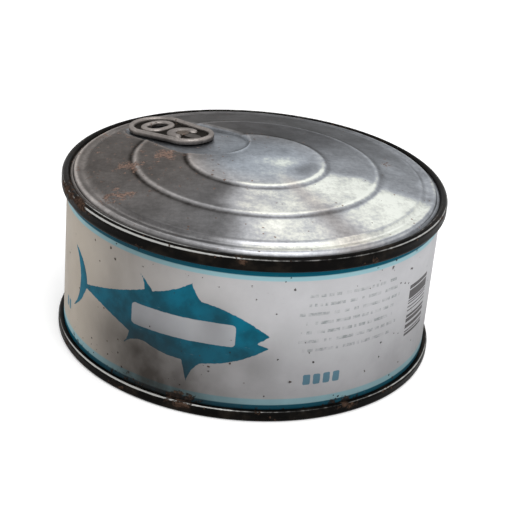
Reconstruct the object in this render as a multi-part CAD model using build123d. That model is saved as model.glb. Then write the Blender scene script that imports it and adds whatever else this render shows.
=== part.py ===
"""A round steel food can, shut, with a domed easy-open lid and a riveted pull tab.

Frame: +Z up, origin at the centre of the plane that the can stands on, sizes in millimetres.

Pieces, each in its own node:
  can_body   the printed wall with its contents, solid because a shut can can't be seen into
  lid        the stamped easy-open end: double seam, rim bead, stepped dome, tab well and formed rivet
  base_end   the stamped bottom end: double seam and a recessed panel with rings
  pull_tab   the stamped ring-pull tab, held down by the rivet

Both ends are drawn with the plane where they meet the wall at height 0 and their outer side up.
The sheet of an end is the space between its outer surface and the same surface one gauge lower,
and the body fills what lies under that sheet.
"""

import math
import os

from build123d import *

# Wall and double seams
WALL_RADIUS = 50.0
RIM_HEIGHT = 45.3
SEAM_OVERHANG = 1.5
SEAM_THICKNESS = 1.7
LID_SEAM_HEIGHT = 3.8
BASE_SEAM_HEIGHT = 3.1
SEAM_ROUND = 0.6
SEAM_LIP_ROUND = 0.35
SHEET_GAUGE = 0.3
CORE_MARGIN = 1.0

# Lid: widths run inwards from the seam, and rises upwards from the rim of the can
COUNTERSINK_DEPTH = 1.1
COUNTERSINK_WIDTH = 1.8
BEAD_RISE = 0.4
BEAD_WIDTH = 2.5
GROOVE_WIDTH = 1.2
PANEL_RISE = 1.0
OUTER_TIER_RISE = 1.65
MIDDLE_STEP_RADIUS = 32.0
INNER_TIER_RISE = 1.1
CENTRE_STEP_RADIUS = 17.7
CENTRE_TIER_RISE = 0.7
STEP_RISE = 0.38
STEP_WIDTH = 1.2
STEP_ROUND = 0.7

# Base: a panel inside the seam, with rings spaced inwards from the seam
BASE_RECESS = 2.4
BASE_RING_COUNT = 3
BASE_RING_SPACING = 9.9
BASE_RING_RISE = 0.5

# Well for the tab and the fingertip, in the tab's frame
WELL_TILT = 5.6
WELL_DEPTH = 0.97
WELL_DRAFT = 40.0
WELL_MARGIN = 0.7
WELL_BOWL_RADIUS = 11.3
WELL_BOWL_OFFSET = -8.6

# Pull tab, in its own frame: 0 at the rivet, positive outwards
TAB_AZIMUTH = 135.0
TAB_NOSE_RADIUS = 8.3
TAB_NOSE_OFFSET = 9.5
TAB_NOSE_OVERLAP = 0.6
TAB_TAIL_RADIUS = 7.0
TAB_TAIL_OFFSET = -2.3
TAB_THICKNESS = 1.7
TAB_GAP = 0.3
TAB_CURL_WIDTH = 1.9
TAB_CURL_ROUND = 0.65
TAB_WEB_BOTTOM = 0.4
TAB_WEB_TOP = 0.8
FINGER_HOLE_OFFSET = 9.7
FINGER_HOLE_WIDTH = 4.4
FINGER_HOLE_LENGTH = 6.6
COLLAR_WIDTH = 1.8
COLLAR_TOP = 1.45

# Rivet formed out of the lid, and the open collar of the tab round it
RIVET_HOLE_RADIUS = 1.3
RIVET_CLEARANCE = 0.1
RIVET_HEAD_OVERLAP = 0.5
RIVET_HEAD_HEIGHT = 0.5
RIVET_PAD_RADIUS = 3.2
RIVET_COLLAR_CLEARANCE = 0.15
RIVET_COLLAR_WIDTH = 2.55
RIVET_COLLAR_GAP_ANGLE = 105.0

WALL_TOP = RIM_HEIGHT - LID_SEAM_HEIGHT
SEAM_RADIUS = WALL_RADIUS + SEAM_OVERHANG
CHUCK_RADIUS = SEAM_RADIUS - SEAM_THICKNESS
CORE_RADIUS = WALL_RADIUS - CORE_MARGIN
BEAD_RADIUS = CHUCK_RADIUS - COUNTERSINK_WIDTH
GROOVE_RADIUS = BEAD_RADIUS - BEAD_WIDTH
PANEL_RADIUS = GROOVE_RADIUS - GROOVE_WIDTH
RIVET_RADIAL = PANEL_RADIUS + TAB_NOSE_OVERLAP - TAB_NOSE_OFFSET - TAB_NOSE_RADIUS
RIVET_HEAD_RADIUS = RIVET_HOLE_RADIUS + RIVET_HEAD_OVERLAP
RIVET_COLLAR_BORE = RIVET_HEAD_RADIUS + RIVET_COLLAR_CLEARANCE
RIVET_COLLAR_RADIUS = RIVET_COLLAR_BORE + RIVET_COLLAR_WIDTH


def seam_points(height):
    """Radius, height and rounding of a double seam's corners, from the axis out and over its crest."""
    return [
        (0, 0, 0),
        (SEAM_RADIUS, 0, SEAM_LIP_ROUND),
        (SEAM_RADIUS, height, SEAM_ROUND),
        (CHUCK_RADIUS, height, SEAM_ROUND),
    ]


def stepped_points(tiers, height):
    """Sloping tiers with a small step up to the next; each has its outer radius, inner radius and rise."""
    points = []
    for outer, inner, rise in tiers:
        points.append((outer, height, STEP_ROUND))
        height += rise
        if inner > 0:
            points.append((inner + STEP_WIDTH, height, STEP_ROUND))
            height += STEP_RISE
    points.append((0, height, 0))
    return points


def lid_points():
    """The lid's outer surface: seam, countersink, rim bead, groove and three rising tiers."""
    chuck_foot = LID_SEAM_HEIGHT - COUNTERSINK_DEPTH
    tiers = [
        (PANEL_RADIUS, MIDDLE_STEP_RADIUS, OUTER_TIER_RISE),
        (MIDDLE_STEP_RADIUS, CENTRE_STEP_RADIUS, INNER_TIER_RISE),
        (CENTRE_STEP_RADIUS, 0, CENTRE_TIER_RISE),
    ]
    return [
        *seam_points(LID_SEAM_HEIGHT),
        ((CHUCK_RADIUS + BEAD_RADIUS) / 2, chuck_foot, SEAM_LIP_ROUND),
        (BEAD_RADIUS, LID_SEAM_HEIGHT + BEAD_RISE, STEP_ROUND),
        (GROOVE_RADIUS, LID_SEAM_HEIGHT, STEP_ROUND),
        *stepped_points(tiers, LID_SEAM_HEIGHT + PANEL_RISE),
    ]


def base_points():
    """The base's outer surface: seam, then a recessed panel with flat rings that alternate in height."""
    floor = BASE_SEAM_HEIGHT - BASE_RECESS
    points = [*seam_points(BASE_SEAM_HEIGHT), (CHUCK_RADIUS - SEAM_ROUND, floor, SEAM_LIP_ROUND)]
    for index in range(BASE_RING_COUNT):
        radius = CHUCK_RADIUS - BASE_RING_SPACING * (index + 1)
        low, high = floor + BASE_RING_RISE * (index % 2), floor + BASE_RING_RISE * ((index + 1) % 2)
        points += [(radius, low, STEP_ROUND), (radius - STEP_WIDTH, high, STEP_ROUND)]
    points.append((0, points[-1][1], 0))
    return points


def turned(points):
    """The solid under an end's outer surface, down to the plane where it meets the wall."""
    corners = [(radius, height) for radius, height, _ in points]
    rounds = [size for _, _, size in points[1:-1]]
    with BuildPart() as made:
        with BuildSketch(Plane.XZ):
            with BuildLine():
                FilletPolyline(*corners, radius=rounds)
                Line(corners[-1], corners[0])
            make_face()
        revolve(axis=Axis.Z)
    return made.part


def tapered_slot(offset_a, radius_a, offset_b, radius_b):
    """Outline round two circles on the X axis, joined by their outer tangents; a is the outer one."""
    lean = math.acos((radius_b - radius_a) / (offset_a - offset_b))
    cos_lean, sin_lean = -math.cos(lean), math.sin(lean)

    def tangent(offset, radius, side):
        return (offset + radius * cos_lean, side * radius * sin_lean)

    nose = (offset_a + radius_a, 0)
    tail = (offset_b - radius_b, 0)
    with BuildSketch() as outline:
        with BuildLine():
            ThreePointArc(tangent(offset_a, radius_a, -1), nose, tangent(offset_a, radius_a, 1))
            Line(tangent(offset_a, radius_a, 1), tangent(offset_b, radius_b, 1))
            ThreePointArc(tangent(offset_b, radius_b, 1), tail, tangent(offset_b, radius_b, -1))
            Line(tangent(offset_b, radius_b, -1), tangent(offset_a, radius_a, -1))
        make_face()
    return outline.sketch


def dome_height(radial):
    """Height of the lid's outer surface over the joint plane, on the straight line between its corners."""
    corners = sorted((radius, height) for radius, height, _ in lid_points()[4:])
    for (near, near_height), (far, far_height) in zip(corners, corners[1:]):
        if near <= radial <= far:
            return near_height + (far_height - near_height) * (radial - near) / (far - near)
    raise ValueError("the tab lies outside the lid's panel")


def tab_frame():
    """The plane of the well's floor, at the rivet, with X pointing outwards along the tab."""
    azimuth, tilt = math.radians(TAB_AZIMUTH), math.radians(WELL_TILT)
    out = Vector(math.cos(azimuth), math.sin(azimuth), 0)
    along = out * math.cos(tilt) - Vector(0, 0, 1) * math.sin(tilt)
    normal = out * math.sin(tilt) + Vector(0, 0, 1) * math.cos(tilt)
    place = out * RIVET_RADIAL + Vector(0, 0, dome_height(RIVET_RADIAL) - WELL_DEPTH)
    return Plane(origin=place, x_dir=along, z_dir=normal)


def well_cutter():
    """The space taken out of the lid for the tab and the fingertip, with drafted sides."""
    outline = tapered_slot(
        TAB_NOSE_OFFSET, TAB_NOSE_RADIUS + WELL_MARGIN, WELL_BOWL_OFFSET, WELL_BOWL_RADIUS
    )
    return extrude(outline, amount=2 * WELL_DEPTH, taper=-WELL_DRAFT)


def rivet():
    """Pad, shank and head formed out of the lid, in the tab's frame."""
    web_top = TAB_GAP + TAB_WEB_TOP
    shank = RIVET_HOLE_RADIUS - RIVET_CLEARANCE
    pad_top = TAB_GAP + TAB_WEB_BOTTOM
    stacked = [(RIVET_PAD_RADIUS, -SHEET_GAUGE / 2, pad_top), (shank, pad_top, web_top)]
    made = Part()
    for radius, low, high in stacked:
        made += Pos(0, 0, low) * extrude(Circle(radius), amount=high - low)
    head = extrude(Circle(RIVET_HEAD_RADIUS), amount=RIVET_HEAD_HEIGHT)
    head = fillet(head.edges().group_by(Axis.Z)[-1], RIVET_HEAD_HEIGHT / 2)
    return made + Pos(0, 0, web_top) * head


def under_sheet(outer):
    """What lies under an end's sheet: the outer solid, one gauge lower, inside the wall."""
    lowered = Pos(0, 0, -SHEET_GAUGE) * outer
    bore = extrude(Circle(CORE_RADIUS), amount=RIM_HEIGHT)
    return lowered & bore


def pull_tab():
    """Stamped tab in its own frame: curled edge, thin web, finger hole and an open collar at the rivet."""
    outline = tapered_slot(TAB_NOSE_OFFSET, TAB_NOSE_RADIUS, TAB_TAIL_OFFSET, TAB_TAIL_RADIUS)
    blank = extrude(outline, amount=TAB_THICKNESS)
    flat_edges = blank.edges().group_by(Axis.Z)
    blank = fillet(flat_edges[0] + flat_edges[-1], TAB_CURL_ROUND)
    inside = tapered_slot(
        TAB_NOSE_OFFSET,
        TAB_NOSE_RADIUS - TAB_CURL_WIDTH,
        TAB_TAIL_OFFSET,
        TAB_TAIL_RADIUS - TAB_CURL_WIDTH,
    )
    blank -= extrude(inside, amount=TAB_WEB_BOTTOM)
    blank -= Pos(0, 0, TAB_WEB_TOP) * extrude(inside, amount=TAB_THICKNESS)
    web = Pos(0, 0, TAB_WEB_TOP)
    rise = COLLAR_TOP - TAB_WEB_TOP

    hole = Pos(FINGER_HOLE_OFFSET, 0) * SlotOverall(
        FINGER_HOLE_LENGTH, FINGER_HOLE_WIDTH, rotation=90
    )
    collar = Pos(FINGER_HOLE_OFFSET, 0) * SlotOverall(
        FINGER_HOLE_LENGTH + 2 * COLLAR_WIDTH, FINGER_HOLE_WIDTH + 2 * COLLAR_WIDTH, rotation=90
    )
    blank += web * extrude(collar, amount=rise)
    blank -= extrude(hole, amount=TAB_THICKNESS)

    half_gap = RIVET_COLLAR_GAP_ANGLE / 2
    reach = 2 * RIVET_COLLAR_RADIUS
    gap = Polygon(
        (0, 0),
        *[
            (-reach * math.cos(math.radians(angle)), reach * math.sin(math.radians(angle)))
            for angle in (-half_gap, 0, half_gap)
        ],
        align=None,
    )
    open_collar = Circle(RIVET_COLLAR_RADIUS) - Circle(RIVET_COLLAR_BORE) - gap
    blank += web * extrude(open_collar, amount=rise)
    return blank - extrude(Circle(RIVET_HOLE_RADIUS), amount=TAB_THICKNESS)


def main():
    """Builds each node and writes it as a STEP file."""
    tab_place = tab_frame()
    lid_outer = turned(lid_points()) - tab_place.location * well_cutter()
    lid_core = under_sheet(lid_outer)
    base_outer = turned(base_points())
    base_core = under_sheet(base_outer)

    lift = Pos(0, 0, WALL_TOP)
    flip = Pos(0, 0, BASE_SEAM_HEIGHT) * Rot(180, 0, 0)
    wall = extrude(Circle(WALL_RADIUS), amount=WALL_TOP - BASE_SEAM_HEIGHT)
    nodes = {
        "can_body": Pos(0, 0, BASE_SEAM_HEIGHT) * wall + lift * lid_core + flip * base_core,
        "lid": lift * ((lid_outer - lid_core) + tab_place.location * rivet()),
        "base_end": flip * (base_outer - base_core),
        "pull_tab": lift * tab_place.location * Pos(0, 0, TAB_GAP) * pull_tab(),
    }
    os.makedirs("parts", exist_ok=True)
    for name, shape in nodes.items():
        export_step(shape, f"parts/{name}.step")


main()
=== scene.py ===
"""A shut, worn steel can of tuna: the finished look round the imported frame.

The can is made of sub-assemblies, each a class: the printed wall, the lid with its seam, the base with its
seam, and the pull tab with its rivet. Lengths in the dataclasses are in millimetres and become metres when
a mesh is made. Heights run up from the plane that the can stands on, radii out from its axis, and azimuths
are degrees from +X.
"""

import logging
import math
from dataclasses import dataclass
from enum import Enum

import bpy
import numpy as np
from mathutils import Matrix, Vector


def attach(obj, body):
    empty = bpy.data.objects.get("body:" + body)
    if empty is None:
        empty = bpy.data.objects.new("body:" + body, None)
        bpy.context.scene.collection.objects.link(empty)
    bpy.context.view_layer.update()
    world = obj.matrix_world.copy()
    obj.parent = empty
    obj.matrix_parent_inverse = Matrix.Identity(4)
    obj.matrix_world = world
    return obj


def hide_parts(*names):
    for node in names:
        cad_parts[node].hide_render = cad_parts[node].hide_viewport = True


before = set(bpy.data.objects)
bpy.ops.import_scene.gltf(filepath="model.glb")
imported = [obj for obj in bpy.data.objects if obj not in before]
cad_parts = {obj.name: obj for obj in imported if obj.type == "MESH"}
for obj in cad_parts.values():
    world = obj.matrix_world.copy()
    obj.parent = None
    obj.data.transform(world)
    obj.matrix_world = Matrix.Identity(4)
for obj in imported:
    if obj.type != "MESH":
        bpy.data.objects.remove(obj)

MM = 0.001
BODY = "root"
BEND_POINTS = 9
ARC_POINTS = 200
log = logging.getLogger("can")

Colour = tuple[float, float, float]
Corner = tuple[float, float, float]
Span = tuple[float, float]
Size = tuple[float, float, float] | float
Socket = bpy.types.NodeSocket
Material = bpy.types.Material
Piece = bpy.types.Object


class Slot(Enum):
    """The record's material slots."""

    WALL = "printed_wall"
    LID = "lid_steel"
    BASE = "base_lacquer"
    TAB = "tab_steel"


def srgb(code: str) -> Colour:
    """Linear colour of a six-digit display code.

    Args:
        code: Red, green and blue as two hexadecimal digits each.

    Returns:
        The linear red, green and blue.
    """
    parts = [int(code[i:i + 2], 16) / 255 for i in (0, 2, 4)]
    red, green, blue = (c / 12.92 if c <= 0.04045 else ((c + 0.055) / 1.055) ** 2.4 for c in parts)
    return red, green, blue


# ---------------------------------------------------------------- fields


def smoothstep(low: float | np.ndarray, high: float | np.ndarray, value: np.ndarray) -> np.ndarray:
    """Ramp from 0 at low to 1 at high: t squared times (3 - 2t), with t the clamped share of the way."""
    t = np.clip((value - low) / (high - low), 0, 1)
    return t * t * (3 - 2 * t)


def fading(low: float | np.ndarray, high: float | np.ndarray, value: np.ndarray) -> np.ndarray:
    """The smooth ramp the other way, from 1 at low to 0 at high."""
    return 1 - smoothstep(low, high, value)


def bell(distance_squared: np.ndarray) -> np.ndarray:
    """A bell curve: e to the power of minus half the squared distance, counted in spreads."""
    return np.exp(-0.5 * distance_squared)


def band(value: np.ndarray, centre: float, spread: float) -> np.ndarray:
    """A bell curve over the distance from a radius or a height."""
    return bell(((value - centre) / spread) ** 2)


def lobe(angle: np.ndarray, towards: float | np.ndarray, sharpness: float) -> np.ndarray:
    """1 in one direction and falling off round it: e to the power of sharpness times (cosine - 1)."""
    return np.exp(sharpness * (np.cos(angle - np.radians(towards)) - 1))


def turn_from(azimuth: float, angle: np.ndarray) -> np.ndarray:
    """The turn from an azimuth to each angle, in radians and at most half a circle either way."""
    return np.angle(np.exp(1j * (angle - math.radians(azimuth))))


@dataclass(frozen=True)
class RoundLevel:
    """A level that is the same all round the can, plus lobes of a strength, azimuth and sharpness."""

    everywhere: float
    lobes: tuple[tuple[float, float, float], ...]

    def at(self, angle: np.ndarray) -> np.ndarray:
        """The level at each angle."""
        return self.everywhere + sum(by * lobe(angle, towards, sharp) for by, towards, sharp in self.lobes)


@dataclass(frozen=True)
class Patch:
    """A bell-shaped spot, such as a dent or a patch of rust.

    On the wall and the seams it lies at a height, with its spreads round the can and upwards. On the lid's
    panel it lies at a radius, with its spreads along X and Y.
    """

    azimuth: float
    level: float
    spread_x: float
    spread_y: float
    strength: float

    def on_wall(self, angle: np.ndarray, height: np.ndarray, radius: float) -> np.ndarray:
        """Its strength at each angle and height of a wall of that radius."""
        arc = turn_from(self.azimuth, angle) * radius
        return self.strength * bell((arc / self.spread_x) ** 2 + ((height - self.level) / self.spread_y) ** 2)

    def on_panel(self, x: np.ndarray, y: np.ndarray) -> np.ndarray:
        """Its strength at each place of the panel."""
        cx, cy = (self.level * f(math.radians(self.azimuth)) for f in (math.cos, math.sin))
        return self.strength * bell(((x - cx) / self.spread_x) ** 2 + ((y - cy) / self.spread_y) ** 2)


def blurred(values: np.ndarray, rows: float, columns: float) -> np.ndarray:
    """A field averaged over its neighbours with bell-shaped weights; columns wrap round and rows end.

    Args:
        values: The field, by row and column.
        rows: The spread along the rows, in rows.
        columns: The spread along the columns, in columns.

    Returns:
        The averaged field.
    """
    result = values
    for axis, spread, mode in ((0, rows, "edge"), (1, columns, "wrap")):
        reach = int(3 * spread)
        weights = bell((np.arange(-reach, reach + 1) / spread) ** 2)
        widths = [(reach, reach) if k == axis else (0, 0) for k in (0, 1)]
        padded = np.pad(result, widths, mode=mode)
        windows = np.lib.stride_tricks.sliding_window_view(padded, len(weights), axis=axis)
        result = windows @ (weights / weights.sum())
    return result


# ---------------------------------------------------------------- shapes


def even_steps(line: np.ndarray, count: int, *, endpoint: bool = True) -> np.ndarray:
    """Points at equal steps of a line's length.

    Args:
        line: The line's points, one row each.
        count: The number of points wanted.
        endpoint: Whether the last one is the line's end.

    Returns:
        The points, interpolated between the line's own.
    """
    length = np.concatenate([[0], np.cumsum(np.hypot(*np.diff(line, axis=0).T))])
    steps = np.linspace(0, length[-1], count, endpoint=endpoint)
    return np.column_stack([np.interp(steps, length, line[:, k]) for k in range(2)])


def rounded_profile(corners: list[Corner], spacing: float) -> np.ndarray:
    """A profile through corners with rounded bends, as evenly spaced points.

    Each corner is cut back by its rounding length along both legs, though by less than half of a leg, and the
    cut is a quadratic curve with the corner as its control point. Then come even steps of the whole length.

    Args:
        corners: Radius, height and cut-back length of each corner.
        spacing: The wanted step, in millimetres.

    Returns:
        An array of radius and height, one row a point.
    """
    places = np.array([c[:2] for c in corners], float)
    cuts = [c[2] for c in corners]
    t = np.linspace(0, 1, BEND_POINTS)[:, None]
    pieces = [places[:1]]
    for before, here, after, cut in zip(places, places[1:], places[2:], cuts[1:]):
        back, on = before - here, after - here
        reach = min(cut, 0.49 * np.hypot(*back), 0.49 * np.hypot(*on))
        start = here + back * reach / np.hypot(*back)
        end = here + on * reach / np.hypot(*on)
        pieces.append((1 - t) ** 2 * start + 2 * t * (1 - t) * here + t ** 2 * end)
    pieces.append(places[-1:])
    line = np.concatenate(pieces)
    length = np.hypot(*np.diff(line, axis=0).T).sum()
    return even_steps(line, max(2, round(length / spacing) + 1))


def turned(profile: np.ndarray, columns: int) -> np.ndarray:
    """A surface of revolution: every profile point goes round the axis in equal steps.

    Args:
        profile: Radius and height, one row a point.
        columns: The number of steps round.

    Returns:
        Points as rows, columns and x, y, z.
    """
    angle = np.linspace(0, 2 * np.pi, columns, endpoint=False)
    radius, height = profile[:, :1], profile[:, 1:]
    return np.stack([radius * np.cos(angle), radius * np.sin(angle), height + 0 * angle], axis=-1)


def linked(name: str, data: bpy.types.ID) -> Piece:
    """Makes an object of a mesh, a lamp or a camera.

    Args:
        name: The object's name.
        data: What it shows.

    Returns:
        The new object, linked to the scene.
    """
    made = bpy.data.objects.new(name, data)
    bpy.context.scene.collection.objects.link(made)
    return made


def grid_piece(name: str, points: np.ndarray, values: dict[str, np.ndarray], *, capped: bool) -> Piece:
    """Makes an object of a grid of points whose columns go round a closed loop.

    Args:
        name: The object's name.
        points: Rows, columns and x, y, z, in millimetres. Faces point outwards where the columns turn
            left-handed seen along the rows' way.
        values: Named scalars, one for each row and column.
        capped: Whether the first and the last row are each closed by a fan to their centre; if not, the last
            row joins the first.

    Returns:
        The new object, linked to the scene.
    """
    rows, columns, _ = points.shape
    index = np.arange(rows * columns).reshape(rows, columns)
    lower, upper = (index[:-1], index[1:]) if capped else (index, np.roll(index, -1, axis=0))
    corners = [lower, np.roll(lower, -1, axis=1), np.roll(upper, -1, axis=1), upper]
    quads = np.stack(corners, axis=-1).reshape(-1, 4)
    triangles = np.empty((0, 3), int)
    vertices = points.reshape(-1, 3)
    if capped:
        fans = [
            np.column_stack([ring, np.roll(ring, -1), np.full(columns, rows * columns + pole)])
            for pole, ring in enumerate((index[0][::-1], index[-1]))
        ]
        triangles = np.vstack(fans)
        vertices = np.vstack([vertices, points[0].mean(axis=0), points[-1].mean(axis=0)])
    mesh = bpy.data.meshes.new(name)
    mesh.vertices.add(len(vertices))
    mesh.vertices.foreach_set("co", (vertices * MM).astype(np.float32).ravel())
    around = np.concatenate([quads.ravel(), triangles.ravel()])
    mesh.loops.add(len(around))
    mesh.loops.foreach_set("vertex_index", around.astype(np.int32))
    mesh.polygons.add(len(quads) + len(triangles))
    starts = np.concatenate([np.arange(len(quads)) * 4, quads.size + np.arange(len(triangles)) * 3])
    mesh.polygons.foreach_set("loop_start", starts.astype(np.int32))
    mesh.update(calc_edges=True)
    mesh.validate()
    mesh.shade_smooth()
    for label, value in values.items():
        poles = [value[0].mean(), value[-1].mean()] if capped else []
        flat = np.concatenate([value.ravel(), poles]).astype(np.float32)
        mesh.attributes.new(label, "FLOAT", "POINT").data.foreach_set("value", flat)
    return linked(name, mesh)


@dataclass
class Loop:
    """A closed flat path with even steps, in the tab's frame: along, across and the outward normals."""

    points: np.ndarray
    normals: np.ndarray

    @classmethod
    def through(cls, dense: np.ndarray, count: int) -> "Loop":
        """Resamples a dense closed line, turning anticlockwise, at equal steps of its length.

        Args:
            dense: Points as x and y, without repeating the first.
            count: The number of steps.

        Returns:
            The loop; each normal is the local tangent turned a quarter clockwise.
        """
        points = even_steps(np.vstack([dense, dense[:1]]), count, endpoint=False)
        tangent = np.roll(points, -1, axis=0) - np.roll(points, 1, axis=0)
        tangent /= np.hypot(*tangent.T)[:, None]
        return cls(points, np.column_stack([tangent[:, 1], -tangent[:, 0]]))


@dataclass(frozen=True)
class TaperedSlot:
    """The outline round two circles on one axis, joined by their outer tangents."""

    nose_offset: float
    nose_radius: float
    tail_offset: float
    tail_radius: float

    def inset(self, by: float) -> "TaperedSlot":
        """The same outline, moved inwards by that distance."""
        return TaperedSlot(self.nose_offset, self.nose_radius - by, self.tail_offset, self.tail_radius - by)

    def loop(self, count: int) -> Loop:
        """The outline as a loop: the nose's arc, then the tail's, between the tangent points.

        Args:
            count: The number of steps.

        Returns:
            The loop.
        """
        lean = math.acos((self.nose_radius - self.tail_radius) / (self.nose_offset - self.tail_offset))
        arcs = [
            np.column_stack([offset + radius * np.cos(angle), radius * np.sin(angle)])
            for offset, radius, angle in (
                (self.nose_offset, self.nose_radius, np.linspace(-lean, lean, ARC_POINTS)),
                (self.tail_offset, self.tail_radius, np.linspace(lean, 2 * math.pi - lean, ARC_POINTS)),
            )
        ]
        return Loop.through(np.vstack(arcs), count)

    def distance(self, along: np.ndarray, across: np.ndarray) -> np.ndarray:
        """Signed distance to the outline, negative inside.

        The circle is looked for whose centre lies on the axis at the share of the way that makes the distance
        least: the foot of the point on the axis, moved by the taper's slope, and clamped to the ends.

        Args:
            along: Positions along the axis.
            across: Positions across it.

        Returns:
            The signed distance at each position.
        """
        span = self.nose_offset - self.tail_offset
        slope = (self.nose_radius - self.tail_radius) / span
        shift = np.abs(across) * slope / math.sqrt(1 - slope ** 2)
        share = np.clip((along - self.tail_offset + shift) / span, 0, 1)
        radius = self.tail_radius + share * (self.nose_radius - self.tail_radius)
        return np.hypot(along - self.tail_offset - share * span, across) - radius


def oval_loop(length: float, width: float, offset: float, count: int) -> Loop:
    """A stadium across the tab: two half circles joined by straight sides.

    Args:
        length: Its whole length, across the tab.
        width: Its whole width, along the tab.
        offset: Where its centre lies along the tab.
        count: The number of steps.

    Returns:
        The loop.
    """
    angle = np.linspace(0, 2 * np.pi, 2 * ARC_POINTS, endpoint=False)
    reach = (length - width) / 2
    x = offset + width / 2 * np.cos(angle)
    y = width / 2 * np.sin(angle) + reach * np.sign(np.sin(angle))
    return Loop.through(np.column_stack([x, y]), count)


def swept(loop: Loop, section: np.ndarray) -> np.ndarray:
    """A section carried along a flat loop: each section point moves out along the normal and up.

    Args:
        loop: The path.
        section: Outward and upward offsets, one row a point, turning clockwise seen along the path.

    Returns:
        Points as rows of the section, steps of the path, and along, across, up.
    """
    flat = loop.points[None] + section[:, None, :1] * loop.normals[None]
    up = np.broadcast_to(section[:, None, 1:], flat.shape[:2] + (1,))
    return np.concatenate([flat, up], axis=-1)


def signed_power(value: np.ndarray, power: float) -> np.ndarray:
    """The value raised to the power, keeping its sign."""
    return np.sign(value) * np.abs(value) ** power


def rounded_section(width: float, low: float, high: float, power: float, count: int = 24) -> np.ndarray:
    """A superellipse between two heights: cosine and sine each raised to 2 / power, keeping their signs.

    Args:
        width: Its whole width.
        low: The lowest height.
        high: The highest height.
        power: 2 for an ellipse, more for a squarer section.
        count: The number of points.

    Returns:
        Outward and upward offsets, one row a point.
    """
    angle = np.linspace(0, 2 * np.pi, count, endpoint=False)
    out = signed_power(np.cos(angle), 2 / power) * width / 2
    up = signed_power(np.sin(angle), 2 / power) * (high - low) / 2 + (high + low) / 2
    return np.column_stack([out, up])


# ---------------------------------------------------------------- shading


@dataclass(frozen=True)
class Clouds:
    """Cloudy noise and the smooth ramp that it is seen through; size is that of the coarsest clouds."""

    size: Size
    low: float
    high: float
    start: float = 0.0
    end: float = 1.0
    detail: float = 4.0
    rough: float = 0.55


class Graph:
    """A node tree in the making; sockets and plain numbers are passed about alike."""

    def __init__(self, owner: bpy.types.ID) -> None:
        """Takes the node tree of a material or a world and empties it.

        Args:
            owner: The material or the world.
        """
        owner.use_nodes = True
        self.tree = owner.node_tree
        self.tree.nodes.clear()

    def feed(self, socket: Socket, value: object) -> None:
        """Links a socket to the input, or sets the input to a number or a colour.

        Args:
            socket: The input.
            value: The socket, number or colour.
        """
        if isinstance(value, Socket):
            self.tree.links.new(value, socket)
        elif isinstance(value, tuple) and len(value) == 3 and socket.type == "RGBA":
            socket.default_value = (*value, 1.0)
        else:
            socket.default_value = value

    def add(self, kind: str, inputs: dict | None = None, **settings: object) -> bpy.types.Node:
        """Adds a node.

        Args:
            kind: Its type's identifier.
            inputs: Values or sockets by input name or number.
            **settings: Its properties.

        Returns:
            The node.
        """
        node = self.tree.nodes.new(kind)
        for key, value in settings.items():
            setattr(node, key, value)
        for key, value in (inputs or {}).items():
            self.feed(node.inputs[key], value)
        return node

    def math(self, operation: str, *values: object, clamp: bool = False) -> Socket:
        """The result of a Math node on one to three values."""
        node = self.add("ShaderNodeMath", dict(enumerate(values)), operation=operation, use_clamp=clamp)
        return node.outputs[0]

    def times(self, first: object, second: object) -> Socket:
        """The product of two values."""
        return self.math("MULTIPLY", first, second)

    def plus(self, first: object, by: object, second: object) -> Socket:
        """The first value times by, plus the second."""
        return self.math("MULTIPLY_ADD", first, by, second)

    def ramp(self, value: object, low: float, high: float, start: float = 0.0, end: float = 1.0) -> Socket:
        """A smooth, clamped ramp of the value.

        Args:
            value: The socket.
            low: Where the ramp starts.
            high: Where it ends; it may be below low.
            start: The result at low.
            end: The result at high.

        Returns:
            The ramp's socket.
        """
        if low > high:
            low, high, start, end = high, low, end, start
        values = {"Value": value, "From Min": low, "From Max": high, "To Min": start, "To Max": end}
        return self.add("ShaderNodeMapRange", values, interpolation_type="SMOOTHSTEP").outputs[0]


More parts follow.
